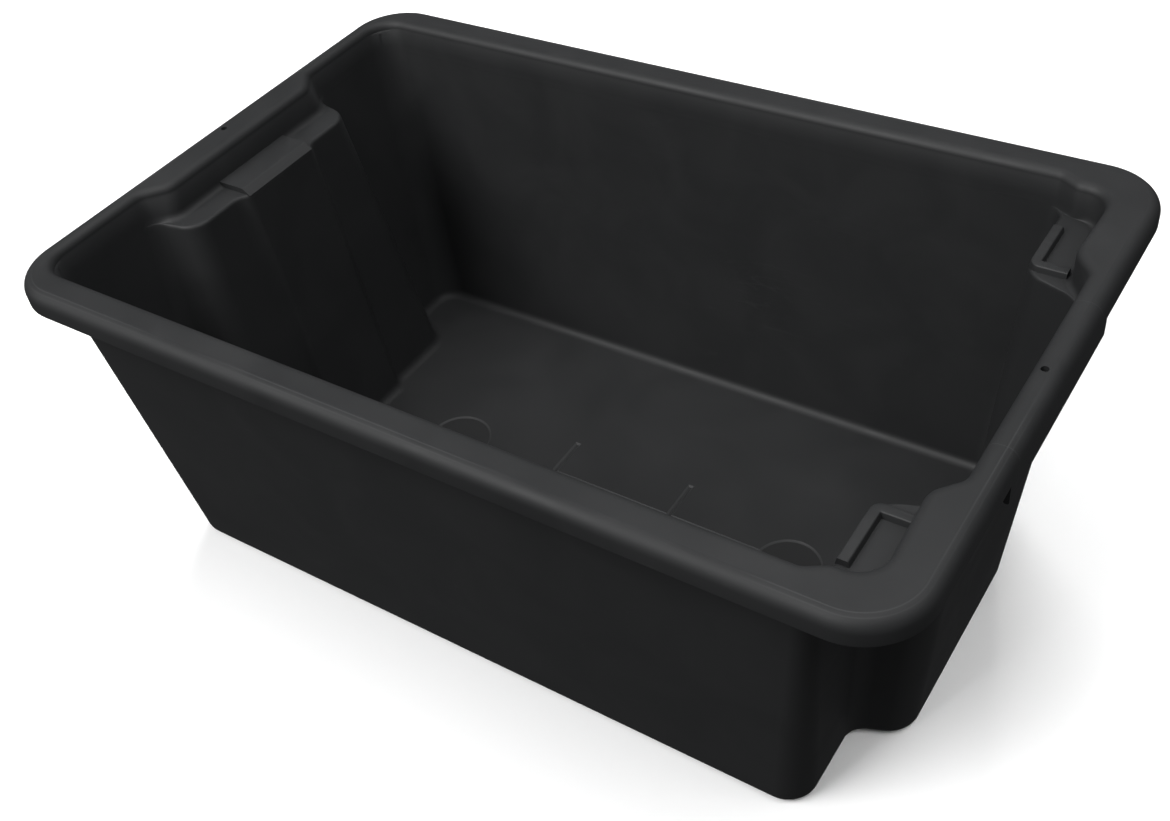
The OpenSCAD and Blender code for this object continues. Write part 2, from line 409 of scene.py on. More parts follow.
def scuffGroup():
    tree, gi, go = newGroup("handlingScuffs", {"Amount": 0.5, "Reach": 0.5}, ["Mask"])
    total = None
    for k, (turn, across) in enumerate(((0.12, 260.0), (1.45, 210.0), (0.8, 320.0))):
        where = place(tree, (7.0, across, across * 0.4), (0.2 * k, 0.1, turn))
        thin = cloudy(tree, where, 1.0, 1.0, 0.4)
        line = fade(tree, sums(tree, "ABSOLUTE", sums(tree, "SUBTRACT", thin, 0.5)), 0.0, 0.006, 1.0, 0.0)
        patch = fade(tree, cloudy(tree, place(tree, turn=(0, 0, turn * 3)), 9.0 + 4 * k, 2.0), 0.52, 0.66)
        mark = sums(tree, "MULTIPLY", line, patch)
        total = mark if total is None else sums(tree, "MAXIMUM", total, mark)
    reach = sums(tree, "MULTIPLY", total, gi.outputs["Reach"])
    tree.links.new(sums(tree, "MULTIPLY", reach, gi.outputs["Amount"], clamp=True), go.inputs["Mask"])
    return tree


def dustGroup():
    tree, gi, go = newGroup("settledDust", {"Amount": 0.5, "Patch Size": 14.0}, ["Mask"])
    facing = tree.nodes.new("ShaderNodeNewGeometry")
    split = tree.nodes.new("ShaderNodeSeparateXYZ")
    tree.links.new(facing.outputs["Normal"], split.inputs[0])
    upward = fade(tree, split.outputs["Z"], 0.35, 0.98)
    where = place(tree)
    patch = fade(tree, cloudy(tree, where, gi.outputs["Patch Size"], 5.0, 0.62, 0.8), 0.36, 0.72)
    specks = fade(tree, cloudy(tree, where, 420.0, 2.0, 0.6), 0.6, 0.74)
    film = sums(tree, "MULTIPLY_ADD", specks, 0.35, patch)
    film = sums(tree, "MULTIPLY", film, upward)
    tree.links.new(sums(tree, "MULTIPLY", film, gi.outputs["Amount"], clamp=True), go.inputs["Mask"])
    return tree


def partingGroup():
    # the witness lines of the mould insert across the right hand grip
    tree, gi, go = newGroup("partingLine", {"Distance": 0.062, "Width": 0.0005}, ["Mask"])
    coords = tree.nodes.new("ShaderNodeTexCoord")
    split = tree.nodes.new("ShaderNodeSeparateXYZ")
    tree.links.new(coords.outputs["Object"], split.inputs[0])
    off = sums(tree, "SUBTRACT", sums(tree, "ABSOLUTE", split.outputs["Y"]), gi.outputs["Distance"])
    line = fade(tree, sums(tree, "ABSOLUTE", off), 0.0, gi.outputs["Width"], 1.0, 0.0)
    rightOnly = fade(tree, split.outputs["X"], 0.270, 0.272)
    tree.links.new(sums(tree, "MULTIPLY", line, rightOnly), go.inputs["Mask"])
    return tree


# where the floor's recesses lie, in metres: half widths and lengths, and the heights of bottom and slope
recessPlace = {
    "centre": 0.141, "reach": 0.026, "halfWidth": 0.034,
    "bottom": 0.0028, "bottomBand": 0.0006,
    "paintedSlopeHighlight": 0.0034, "slopeBand": 0.0005, "slopeHalfWidth": 0.06, "slopeHalfLength": 0.17,
}


def recessGroup():
    # the bottoms inside the two ovals, drawn darker and rougher, and a painted highlight on the slopes round
    # all the recesses
    r = recessPlace
    sizes = {"Centre": r["centre"], "Reach": r["reach"], "Level": r["bottom"]}
    tree, gi, go = newGroup("recessToneAndPaintedHighlight", sizes, ["Mask", "Edge"])
    coords = tree.nodes.new("ShaderNodeTexCoord")
    split = tree.nodes.new("ShaderNodeSeparateXYZ")
    tree.links.new(coords.outputs["Object"], split.inputs[0])
    off = sums(tree, "SUBTRACT", sums(tree, "ABSOLUTE", split.outputs["X"]), gi.outputs["Centre"])
    inX = sums(tree, "LESS_THAN", sums(tree, "ABSOLUTE", off), gi.outputs["Reach"])
    inY = sums(tree, "LESS_THAN", sums(tree, "ABSOLUTE", split.outputs["Y"]), r["halfWidth"])
    above = sums(tree, "ABSOLUTE", sums(tree, "SUBTRACT", split.outputs["Z"], gi.outputs["Level"]))
    atBottom = sums(tree, "LESS_THAN", above, r["bottomBand"])
    inside = sums(tree, "MULTIPLY", sums(tree, "MULTIPLY", inX, inY), atBottom)
    tree.links.new(inside, go.inputs["Mask"])
    fromMiddle = sums(tree, "ABSOLUTE", sums(tree, "SUBTRACT", split.outputs["Z"], r["paintedSlopeHighlight"]))
    onSlope = sums(tree, "LESS_THAN", fromMiddle, r["slopeBand"])
    crosswise = sums(tree, "LESS_THAN", sums(tree, "ABSOLUTE", split.outputs["Y"]), r["slopeHalfWidth"])
    lengthwise = sums(tree, "LESS_THAN", sums(tree, "ABSOLUTE", split.outputs["X"]), r["slopeHalfLength"])
    # painted highlight: the slope band round the recesses, drawn lighter
    paintedSlopeHighlight = sums(tree, "MULTIPLY", sums(tree, "MULTIPLY", crosswise, lengthwise), onSlope)
    tree.links.new(paintedSlopeHighlight, go.inputs["Edge"])
    return tree


def creaseHighlightGroup():
    # two fine painted highlight lines that follow the outside of the rim where its flat top rolls over
    sizes = {"Half Length": hl * mm, "Half Width": hw * mm, "Corner": tub["rimCorner"] * mm,
             "First": 0.0070, "Second": 0.0045, "Width": 0.00055}
    tree, gi, go = newGroup("deckCreaseHighlight", sizes, ["Mask"])
    split = tree.nodes.new("ShaderNodeSeparateXYZ")
    tree.links.new(place(tree), split.inputs[0])
    out = []
    for axis, half in (("X", "Half Length"), ("Y", "Half Width")):
        side = sums(tree, "SUBTRACT", sums(tree, "ABSOLUTE", split.outputs[axis]), gi.outputs[half])
        out.append(sums(tree, "ADD", side, gi.outputs["Corner"]))
    px, py = (sums(tree, "MAXIMUM", v, 0.0) for v in out)
    squares = sums(tree, "ADD", sums(tree, "MULTIPLY", px, px), sums(tree, "MULTIPLY", py, py))
    fromCentre = sums(tree, "SQRT", squares)
    straight = sums(tree, "MINIMUM", sums(tree, "MAXIMUM", out[0], out[1]), 0.0)
    inward = sums(tree, "SUBTRACT", gi.outputs["Corner"], sums(tree, "ADD", fromCentre, straight))
    total = None
    for key, share in (("First", 1.0), ("Second", 0.55)):
        off = sums(tree, "ABSOLUTE", sums(tree, "SUBTRACT", inward, gi.outputs[key]))
        line = sums(tree, "MULTIPLY", fade(tree, off, 0.0, gi.outputs["Width"], 1.0, 0.0), share)
        total = line if total is None else sums(tree, "MAXIMUM", total, line)
    fadeOut = fade(tree, cloudy(tree, place(tree), 7.0, 1.0), 0.42, 0.62)
    onTop = fade(tree, split.outputs["Z"], (top - 5) * mm, (top - 4) * mm)
    tree.links.new(sums(tree, "MULTIPLY", sums(tree, "MULTIPLY", total, fadeOut), onTop), go.inputs["Mask"])
    return tree


effects = {"grain": grainGroup(), "scuffs": scuffGroup(), "dust": dustGroup(), "parting": partingGroup(),
           "recess": recessGroup(), "creaseHighlight": creaseHighlightGroup()}


def addEffect(tree, name, **values):
    node = tree.nodes.new("ShaderNodeGroup")
    node.node_tree = effects[name]
    for key, value in values.items():
        node.inputs[key.replace("_", " ")].default_value = value
    return node.outputs


def mixColour(tree, factor, a, b):
    node = tree.nodes.new("ShaderNodeMix")
    node.data_type = "RGBA"
    feed(tree, factor, node.inputs["Factor"])
    feed(tree, a, node.inputs[6])
    feed(tree, b, node.inputs[7])
    return node.outputs[2]


def mouldedPlastic(name, look):
    material = bpy.data.materials.new(name)
    material.use_nodes = True
    tree = material.node_tree
    shader = tree.nodes["Principled BSDF"]
    grain = addEffect(tree, "grain", Scale=look["grainScale"], Waviness=look["waviness"])
    scuffs = addEffect(tree, "scuffs", Amount=look["scuffs"], Reach=1.0)["Mask"]
    dust = addEffect(tree, "dust", Amount=look["dust"], Patch_Size=look["dustPatch"])["Mask"]
    parting = addEffect(tree, "parting")["Mask"]
    recess, paintedSlopeHighlight = addEffect(tree, "recess")
    creaseHighlight = addEffect(tree, "creaseHighlight")["Mask"]
    cloud = fade(tree, grain["Gloss"], 0.3, 0.7)
    colour = mixColour(tree, cloud, look["dark"], look["light"])
    colour = mixColour(tree, dust, colour, look["dustColour"])
    colour = mixColour(tree, scuffs, colour, look["scuffColour"])
    colour = mixColour(tree, sums(tree, "MULTIPLY", parting, 0.5), colour, look["scuffColour"])
    colour = mixColour(tree, sums(tree, "MULTIPLY", recess, 0.34), colour, look["recessColour"])
    # painted highlight on the recess slopes, in a lighter colour
    colour = mixColour(tree, sums(tree, "MULTIPLY", paintedSlopeHighlight, 0.6), colour, look["paintedHighlightColour"])
    # painted highlight lines along the rim's crease, in the same lighter colour
    colour = mixColour(tree, sums(tree, "MULTIPLY", creaseHighlight, 0.5), colour, look["paintedHighlightColour"])
    tree.links.new(colour, shader.inputs["Base Color"])
    rough = fade(tree, grain["Gloss"], 0.25, 0.75, look["roughLow"], look["roughHigh"])
    rough = sums(tree, "MULTIPLY_ADD", dust, 0.22, rough)
    rough = sums(tree, "MULTIPLY_ADD", recess, 0.15, rough)
    rough = sums(tree, "MULTIPLY_ADD", scuffs, 0.12, rough, clamp=True)
    tree.links.new(rough, shader.inputs["Roughness"])
    shader.inputs["Specular IOR Level"].default_value = look["specular"]
    bump = tree.nodes.new("ShaderNodeBump")
    bump.inputs["Strength"].default_value = look["bumpStrength"]
    bump.inputs["Distance"].default_value = look["bumpDistance"]
    height = sums(tree, "MULTIPLY_ADD", scuffs, -0.6, grain["Height"])
    height = sums(tree, "MULTIPLY_ADD", parting, -2.0, height)
    tree.links.new(height, bump.inputs["Height"])
    tree.links.new(bump.outputs["Normal"], shader.inputs["Normal"])
    return material


shellLook = {
    "dark": (0.0142, 0.0147, 0.0153, 1), "light": (0.0160, 0.0165, 0.0171, 1),
    "dustColour": (0.036, 0.036, 0.037, 1), "scuffColour": (0.034, 0.035, 0.036, 1),
    # the lighter colour of the painted highlights on the recess slopes and along the rim's crease
    "recessColour": (0.006, 0.006, 0.006, 1), "paintedHighlightColour": (0.045, 0.046, 0.047, 1),
    "roughLow": 0.54, "roughHigh": 0.62, "specular": 0.36,
    "grainScale": 1100.0, "waviness": 0.5, "bumpStrength": 0.35, "bumpDistance": 0.00012,
    "scuffs": 0.14, "dust": 0.16, "dustPatch": 9.0,
}
rimLook = dict(shellLook, light=(0.0172, 0.0177, 0.0183, 1),
               roughLow=0.58, roughHigh=0.66, specular=0.32, scuffs=0.22, dust=0.14, dustPatch=16.0)
ribLook = dict(shellLook, roughLow=0.50, roughHigh=0.58, scuffs=0.3, dust=0.18, dustPatch=30.0)

shellPlastic = mouldedPlastic("shellPlastic", shellLook)
rimPlastic = mouldedPlastic("rimPlastic", rimLook)
ribPlastic = mouldedPlastic("ribPlastic", ribLook)
print("plastics mixed")

# the shell: floor, walls, post, pillars, ledges, neck and flat deck in one skin
shell = {
    "footSteps": 9,
    "insideSteps": 9,
    "edgeSteps": 5,
    "lipSteps": 8,
    "wallLevels": (34, 80, 130, 175),
    "reliefDepth": 1.2,
    "reliefSlope": 1.6,
    "ovalX": 141.0,
    "ovalRadius": 24.5,
    "ovalStretch": 8.0,
    "channelHalf": 13.0,
    "channelCut": 5.0,
    "grooveArm": 45.0,
    "grooveWidth": 5,
    "grooveX": (-57, 42),
    "holeInset": 10.8,
    "holeRadius": 2.25,
    "drillLength": 12,
}


def towards(a, b, distance):
    # points a moved to b by a distance, never past 45 % of the way
    gap = b - a
    wide = np.linalg.norm(gap, axis=1, keepdims=True)
    safe = np.maximum(wide, 1e-9)
    return gap / safe * np.minimum(distance, 0.45 * wide)


def outsideRows():
    t = tub
    rows = [row(bodyLine(t["footRadius"] + 4, 0), 0), row(bodyLine(t["footRadius"] + 1.2, 0), 0)]
    for a in quarter(shell["footSteps"]):
        z = t["footRadius"] * (1 - math.cos(a))
        rows.append(row(bodyLine(t["footRadius"] * (1 - math.sin(a)), z), z))
    for z in (t["footRadius"] + 1.5, *shell["wallLevels"], ledgeUnder - t["undersideRoot"] - 1.5):
        rows.append(row(bodyLine(0, z), z))
    r = t["undersideRoot"]
    for a in quarter(shell["edgeSteps"]):
        z = ledgeUnder - r + r * math.sin(a)
        inner, outer = bodyLine(0, z), neckLine(0, ledgeUnder)
        rows.append(row(inner + towards(inner, outer, r) * (1 - math.cos(a)), z))
    inner, outer = bodyLine(0, ledgeUnder), neckLine(0, ledgeUnder)
    rows.append(row(inner + towards(inner, outer, r + 0.8), ledgeUnder))
    r = 2.0
    rows.append(row(outer + towards(outer, inner, r + 0.8), ledgeUnder))
    for a in quarter(shell["edgeSteps"]):
        z = ledgeUnder + r * (1 - math.cos(a))
        outer = neckLine(0, z)
        rows.append(row(outer + towards(outer, inner, r) * (1 - math.sin(a)), z))
    for z in (ledgeUnder + r + 1.2, top - t["lip"] - 1.2):
        rows.append(row(neckLine(0, z), z))
    f = t["lip"] - t["wall"]
    for a in quarter(5):
        z = top - t["lip"] + f * math.sin(a)
        rows.append(row(neckLine(-f + f * math.cos(a), top), z))
    under = top - t["wall"]
    near, far = neckLine(-f, top), rimLine(t["deckJoin"])
    rows.append(row(near + towards(near, far, 1.2), under))
    rows.append(row(far, under))
    return rows


def insideRows():
    t = tub
    wall, lip = t["wall"], t["lip"]
    near, far = neckLine(wall - lip, top), rimLine(t["deckJoin"])
    rows = [row(far, top), row(near + towards(near, far, 1.2), top)]
    for a in quarter(shell["lipSteps"])[::-1]:
        rows.append(row(neckLine(wall - lip + lip * math.cos(a), top), top - lip + lip * math.sin(a)))
    r = t["ledgeRoot"]
    for z in (top - lip - 1.2, t["ledgeTop"] + r + 1.2):
        rows.append(row(neckLine(wall, z), z))
    inner = bodyLine(wall, t["ledgeTop"])
    for a in quarter(shell["edgeSteps"])[::-1]:
        z = t["ledgeTop"] + r * (1 - math.cos(a))
        outer = neckLine(wall, z)
        rows.append(row(outer + towards(outer, inner, r) * (1 - math.sin(a)), z))
    rows.append(row(outer + towards(outer, inner, r + 0.8), t["ledgeTop"]))
    r = t["ledgeEdge"]
    rows.append(row(inner + towards(inner, outer, r + 0.8), t["ledgeTop"]))
    for a in quarter(shell["edgeSteps"])[::-1]:
        z = t["ledgeTop"] - r + r * math.sin(a)
        inner = bodyLine(wall, z)
        rows.append(row(inner + towards(inner, outer, r) * (1 - math.cos(a)), z))
    r = t["insideRadius"]
    lowest = t["floorThickness"] + r + 1.5
    for z in (t["ledgeTop"] - t["ledgeEdge"] - 1.2, *shell["wallLevels"][::-1], lowest):
        rows.append(row(bodyLine(wall, z), z))
    for a in quarter(shell["insideSteps"])[::-1]:
        z = t["floorThickness"] + r * (1 - math.cos(a))
        rows.append(row(bodyLine(wall + r * (1 - math.sin(a)), z), z))
    rows.append(row(bodyLine(wall + r + 1.0, t["floorThickness"]), t["floorThickness"]))
    return rows


def ovalLine(x, first, last, steps=40):
    # part of the oval's outline; angles in degrees, anticlockwise
    out = []
    for a in np.radians(np.linspace(first, last, steps)):
        lift = shell["ovalStretch"] * (1 if math.sin(a) >= 0 else -1)
        out.append((x + shell["ovalRadius"] * math.cos(a), lift + shell["ovalRadius"] * math.sin(a)))
    return out


def loopInset(points, d):
    p = np.array(points)
    u = np.roll(p, -1, 0) - p
    u /= np.linalg.norm(u, axis=1, keepdims=True)
    s = np.column_stack([-u[:, 1], u[:, 0]])
    before = np.roll(s, 1, 0)
    return p + d * (before + s) / (1 + np.sum(before * s, 1, keepdims=True))


def reliefLoops():
    # the left oval by itself, and the channel with its two cross grooves and the right oval
    half, arm, groove = shell["channelHalf"], shell["grooveArm"], shell["grooveWidth"]
    a, b = shell["grooveX"]
    cut = math.degrees(math.asin(shell["channelCut"] / shell["ovalRadius"]))
    front = [(a, -arm), (a + groove, -arm), (a + groove, -half), (b, -half),
             (b, -arm), (b + groove, -arm), (b + groove, -half)]
    right = ovalLine(shell["ovalX"], 180 + cut, 540 - cut, 60)
    channel = front + right + [(x, -y) for x, y in front[::-1]]
    return [ovalLine(-shell["ovalX"], 0, 360, 61)[:-1], channel]


def floorFill(edge):
    # triangles between the ring at the foot of the walls and the pressed outlines
    points, levels, edges = [], [], []
    loops = [(edge, tub["floorThickness"])]
    for loop in reliefLoops():
        loops.append((loop, tub["floorThickness"]))
        loops.append((loopInset(loop, shell["reliefSlope"]), tub["floorThickness"] - shell["reliefDepth"]))
    for loop, z in loops:
        start, count = len(points), len(loop)
        points += [Vector((float(p[0]), float(p[1]))) for p in loop]
        levels += [z] * count
        edges += [(start + i, start + (i + 1) % count) for i in range(count)]
    flat, _, faces, source, _, _ = delaunay_2d_cdt(points, edges, [], 1, 1e-5)
    heights = [levels[s[0]] if s else tub["floorThickness"] for s in source]
    return [(p.x, p.y, z) for p, z in zip(flat, heights)], [list(f) for f in faces]


def buildShell():
    rows = outsideRows() + insideRows()
    n = len(rows[0])
    points = np.vstack(rows).tolist()
    faces = []
    for k in range(len(rows) - 1):
        for i in range(n):
            j = (i + 1) % n
            faces.append((k * n + i, k * n + j, (k + 1) * n + j, (k + 1) * n + i))
    faces.append(tuple(range(n))[::-1])     # flat underside
    base = len(points)
    floorPoints, floorFaces = floorFill(rows[-1][:, :2])
    points += floorPoints
    faces += [[base + i for i in f] for f in floorFaces]
    piece = meshFrom("tubShell", points, faces, shellPlastic)
    bm = bmesh.new()
    bm.from_mesh(piece.data)
    bmesh.ops.remove_doubles(bm, verts=bm.verts, dist=2e-6)
    bmesh.ops.dissolve_degenerate(bm, dist=1e-7, edges=bm.edges)
    bmesh.ops.recalc_face_normals(bm, faces=bm.faces)
    bm.to_mesh(piece.data)
    bm.free()
    return piece


def drillHoles(piece):
    # the two small holes through the flat of the rim
    radius = shell["holeRadius"] * mm
    for x in (-(hl - shell["holeInset"]), hl - shell["holeInset"]):
        mesh = bpy.data.meshes.new("drill")
        bm = bmesh.new()
        bmesh.ops.create_cone(bm, cap_ends=True, segments=40, radius1=radius, radius2=radius,
                              depth=shell["drillLength"] * mm,
                              matrix=Matrix.Translation((x * mm, 0, (top - tub["wall"] / 2) * mm)))
        bm.to_mesh(mesh)
        bm.free()
        drill = bpy.data.objects.new("drill", mesh)
        scene.collection.objects.link(drill)
        cut = piece.modifiers.new("hole", "BOOLEAN")
        cut.object, cut.operation, cut.solver = drill, "DIFFERENCE", "EXACT"
        bpy.context.view_layer.update()
        drilled = bpy.data.meshes.new_from_object(piece.evaluated_get(bpy.context.evaluated_depsgraph_get()))
        piece.modifiers.clear()
        old = piece.data
        piece.data = drilled
        drilled.name = "tubShell"
        bpy.data.meshes.remove(old)
        bpy.data.objects.remove(drill)


tubShell = buildShell()
print("shell skin:", len(tubShell.data.polygons), "faces, volume and open edges", volumeOf(tubShell.data))
drillHoles(tubShell)
smoothPiece(tubShell)
print("holes drilled:", len(tubShell.data.polygons), "faces, volume and open edges", volumeOf(tubShell.data))


# sweeps: the rolled rim, the grips, the ledge ribs and the pad follow their paths
def sweepTree(name, sizes, corners, roundSteps):
    # corners: across, down and rounding of each corner, each a sum of named sizes such as {"Wall": -1}
    tree = bpy.data.node_groups.new(name, "GeometryNodeTree")
    face = tree.interface
    face.new_socket("Path", in_out="INPUT", socket_type="NodeSocketGeometry")
    for key, value in sizes.items():
        s = face.new_socket(key, in_out="INPUT", socket_type="NodeSocketFloat")
        s.default_value = value * mm
    face.new_socket("Material", in_out="INPUT", socket_type="NodeSocketMaterial")
    face.new_socket("Geometry", in_out="OUTPUT", socket_type="NodeSocketGeometry")
    gi, go = tree.nodes.new("NodeGroupInput"), tree.nodes.new("NodeGroupOutput")

    def add(kind, **settings):
        node = tree.nodes.new(kind)
        for key, value in settings.items():
            setattr(node, key, value)
        return node

    def total(terms):
        value = 0.0
        for key, factor in terms.items():
            value = sums(tree, "MULTIPLY_ADD", gi.outputs[key], float(factor), value)
        return value

    line = add("GeometryNodeMeshLine")
    line.inputs["Count"].default_value = len(corners)
    profile = add("GeometryNodeMeshToCurve")
    loop = add("GeometryNodeSetSplineCyclic")
    loop.inputs["Cyclic"].default_value = True
    index = add("GeometryNodeInputIndex")
    spots = add("GeometryNodeIndexSwitch", data_type="VECTOR")
    rounds = add("GeometryNodeIndexSwitch", data_type="FLOAT")
    for k, (across, down, radius) in enumerate(corners):
        for switch in (spots, rounds):
            if k > 1:
                switch.index_switch_items.new()
        joined = add("ShaderNodeCombineXYZ")
        feed(tree, total(across), joined.inputs["X"])
        feed(tree, total(down), joined.inputs["Y"])
        tree.links.new(joined.outputs[0], spots.inputs[k + 1])
        feed(tree, total(radius), rounds.inputs[k + 1])
    for switch in (spots, rounds):
        tree.links.new(index.outputs[0], switch.inputs["Index"])
    spot = add("GeometryNodeSetPosition")
    fillet = add("GeometryNodeFilletCurve", mode="POLY")
    fillet.inputs["Count"].default_value = roundSteps
    path = add("GeometryNodeMeshToCurve")
    upright = add("GeometryNodeSetCurveNormal", mode="Z_UP")
    sweep = add("GeometryNodeCurveToMesh")
    sweep.inputs["Fill Caps"].default_value = True
    merge = add("GeometryNodeMergeByDistance")
    merge.inputs["Distance"].default_value = 1e-6
    angle = add("GeometryNodeInputMeshEdgeAngle")
    smooth = add("GeometryNodeSetShadeSmooth", domain="FACE")
    sharp = add("GeometryNodeSetShadeSmooth", domain="EDGE")
    sharp.inputs["Shade Smooth"].default_value = False
    steep = sums(tree, "GREATER_THAN", angle.outputs["Unsigned Angle"], sharpAngle)
    real = add("GeometryNodeRealizeInstances")
    finish = add("GeometryNodeSetMaterial")
    link = tree.links.new
    link(line.outputs["Mesh"], profile.inputs["Mesh"])
    link(profile.outputs["Curve"], loop.inputs[0])
    link(loop.outputs[0], spot.inputs["Geometry"])
    link(spots.outputs[0], spot.inputs["Position"])
    link(spot.outputs[0], fillet.inputs["Curve"])
    link(rounds.outputs[0], fillet.inputs["Radius"])
    link(gi.outputs["Path"], path.inputs["Mesh"])
    link(path.outputs["Curve"], upright.inputs["Curve"])
    link(upright.outputs["Curve"], sweep.inputs["Curve"])
    link(fillet.outputs["Curve"], sweep.inputs["Profile Curve"])
    link(sweep.outputs["Mesh"], merge.inputs["Geometry"])
    link(merge.outputs["Geometry"], smooth.inputs["Geometry"])
    link(smooth.outputs["Geometry"], sharp.inputs["Geometry"])
    link(steep, sharp.inputs["Selection"])
    link(sharp.outputs["Geometry"], real.inputs["Geometry"])
    link(real.outputs["Geometry"], finish.inputs["Geometry"])
    link(gi.outputs["Material"], finish.inputs["Material"])
    link(finish.outputs["Geometry"], go.inputs["Geometry"])
    return tree


def sweepPiece(name, tree, path, sizes, material):
    mesh = bpy.data.meshes.new(name)
    mesh.from_pydata((np.asarray(path) * mm).tolist(), [(i, i + 1) for i in range(len(path) - 1)], [])
    piece = bpy.data.objects.new(name, mesh)
    scene.collection.objects.link(piece)
    sweep = piece.modifiers.new("sweep", "NODES")
    sweep.node_group = tree
    for item in tree.interface.items_tree:
        if item.item_type == "SOCKET" and item.in_out == "INPUT":
            if item.name in sizes:
                sweep[item.identifier] = sizes[item.name] * mm
            elif item.name == "Material":
                sweep[item.identifier] = material
    bpy.context.view_layer.update()
    made = bpy.data.meshes.new_from_object(piece.evaluated_get(bpy.context.evaluated_depsgraph_get()))
    piece.modifiers.clear()
    piece.data = made
    made.name = name
    print(name + ":", len(made.polygons), "faces, volume and open edges", volumeOf(made))
    return piece


rimSizes = {"Deck Strip": tub["deckJoin"], "Wall": tub["wall"], "Edge Radius": tub["rimEdge"],
            "Skirt Depth": 16.5, "Lip Rounding": 1.2}
grips = {"skirtDepth": 28.5, "leftHalf": 60.0, "rightHalf": 72.0, "gap": 0.4}
rimCorners = [
    ({"Deck Strip": -1}, {}, {}),
    ({}, {}, {"Edge Radius": 1}),
    ({}, {"Skirt Depth": 1}, {"Lip Rounding": 1}),
    ({"Wall": -1}, {"Skirt Depth": 1}, {"Lip Rounding": 1}),
    ({"Wall": -1}, {"Wall": 1}, {"Edge Radius": 1, "Wall": -1}),
    ({"Deck Strip": -1}, {"Wall": 1}, {}),
]
rimTree = sweepTree("rolledRim", rimSizes, rimCorners, 9)


def rimPath(side):
    # the outer line of the rim from the left grip to the right grip, round the front or the back
    left, right, gap = grips["leftHalf"], grips["rightHalf"], grips["gap"]
    keep = [p for p in rimHalf(0) if p[1] <= -((left if p[0] < 0 else right) + gap)]
    line = np.array([(-hl, -left), *keep, (hl, -right)])
    if side > 0:
        line = line[::-1] * np.array([1, -1])
    return row(line, top)


rimRollFront = sweepPiece("rimRollFront", rimTree, rimPath(-1), rimSizes, rimPlastic)
rimRollBack = sweepPiece("rimRollBack", rimTree, rimPath(1), rimSizes, rimPlastic)
gripSizes = dict(rimSizes, **{"Skirt Depth": grips["skirtDepth"]})
leftGripPath = [(-hl, y, top) for y in np.linspace(grips["leftHalf"], -grips["leftHalf"], 31)]
rightGripPath = [(hl, y, top) for y in np.linspace(-grips["rightHalf"], grips["rightHalf"], 37)]
leftHandleRoll = sweepPiece("leftHandleRoll", rimTree, leftGripPath, gripSizes, rimPlastic)
rightHandleRoll = sweepPiece("rightHandleRoll", rimTree, rightGripPath, gripSizes, rimPlastic)

# the raised ribs and pad that carry the tub stacked above
ribSizes = {"Width": 6.0, "Height": 4.0, "Flare": 0.9, "Sink": 0.4, "Top Rounding": 1.1}
ribCorners = [
    ({"Width": -0.5, "Flare": -1}, {"Sink": 1}, {}),
    ({"Width": -0.5}, {"Height": -1}, {"Top Rounding": 1}),
    ({"Width": 0.5}, {"Height": -1}, {"Top Rounding": 1}),
    ({"Width": 0.5, "Flare": 1}, {"Sink": 1}, {}),
]
ribTree = sweepTree("ledgeRib", ribSizes, ribCorners, 4)


ribRun = {"outerY": -149.0, "innerY": -109.0, "reach": 20.0, "edgeGap": 1.4, "bend": 3.5}


def ribPath(side):
    x0 = pillarX(ledgeUnder) + ribRun["edgeGap"]
    a, b = np.array([x0, ribRun["outerY"]]), np.array([x0, ribRun["innerY"]])
    c = np.array([x0 + ribRun["reach"], ribRun["innerY"]])
    line = np.vstack([a, roundCorner(a, b, c, ribRun["bend"], 8), c])
    if side > 0:
        line = line[::-1] * np.array([1, -1])
    return row(line, tub["ledgeTop"])


frontLedgeRib = sweepPiece("frontLedgeRib", ribTree, ribPath(-1), ribSizes, ribPlastic)
backLedgeRib = sweepPiece("backLedgeRib", ribTree, ribPath(1), ribSizes, ribPlastic)

padSizes = {"Depth": 27.5, "Height": 4.0, "Slope": 6.0, "Sink": 0.4, "Top Rounding": 3.4}
padCorners = [
    ({}, {"Sink": 1}, {}),
    ({}, {"Height": -1}, {}),
    ({"Depth": 1, "Slope": -1}, {"Height": -1}, {"Top Rounding": 1}),
    ({"Depth": 1}, {"Sink": 1}, {}),
]
padTree = sweepTree("shelfPad", padSizes, padCorners, 4)
padHalf, padSink = 32.6, 0.6     # half length of the pad, and how far its back stands in the neck wall
padX = leftX(ledgeUnder) + neck["shelfDepth"] + tub["wall"] - padSink
padPath = [(padX, y, tub["ledgeTop"]) for y in np.linspace(-padHalf, padHalf, 15)]
shelfPad = sweepPiece("shelfPad", padTree, padPath, padSizes, ribPlastic)

shellNodes = ["floor_panel", "front_wall", "back_wall", "left_end_wall", "right_post",
              "front_pillar", "back_pillar"]
# the decks, neck, ledges and shelf of the other nodes are part of the shell as well
standsFor = [
    (tubShell, shellNodes),
    (rimRollFront, ["rim_front"]),
    (rimRollBack, ["rim_back"]),
    (leftHandleRoll, ["left_handle"]),
    (rightHandleRoll, ["right_handle"]),
    (shelfPad, ["stacking_shelf"]),
    (frontLedgeRib, ["front_ledge"]),
    (backLedgeRib, ["back_ledge"]),
]
for piece, nodes in standsFor:
    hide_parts(*nodes)
    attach(piece, "root")
print("pieces placed:", len(standsFor))

# floor, light and camera; angles in degrees, places in metres
studio = {
    "azimuth": 38.4994, "elevation": 42.2773, "roll": -8.2297,
    "eye": (0.4348, -0.5569, 0.7414), "lens": 43.11,
    "floorColour": (0.88, 0.88, 0.88, 1), "floorHalf": 6.0,
    "worldColour": (0.97, 0.98, 1.0, 1), "worldStrength": 0.08,
    "lightsAim": (0, 0, 0.1),
}
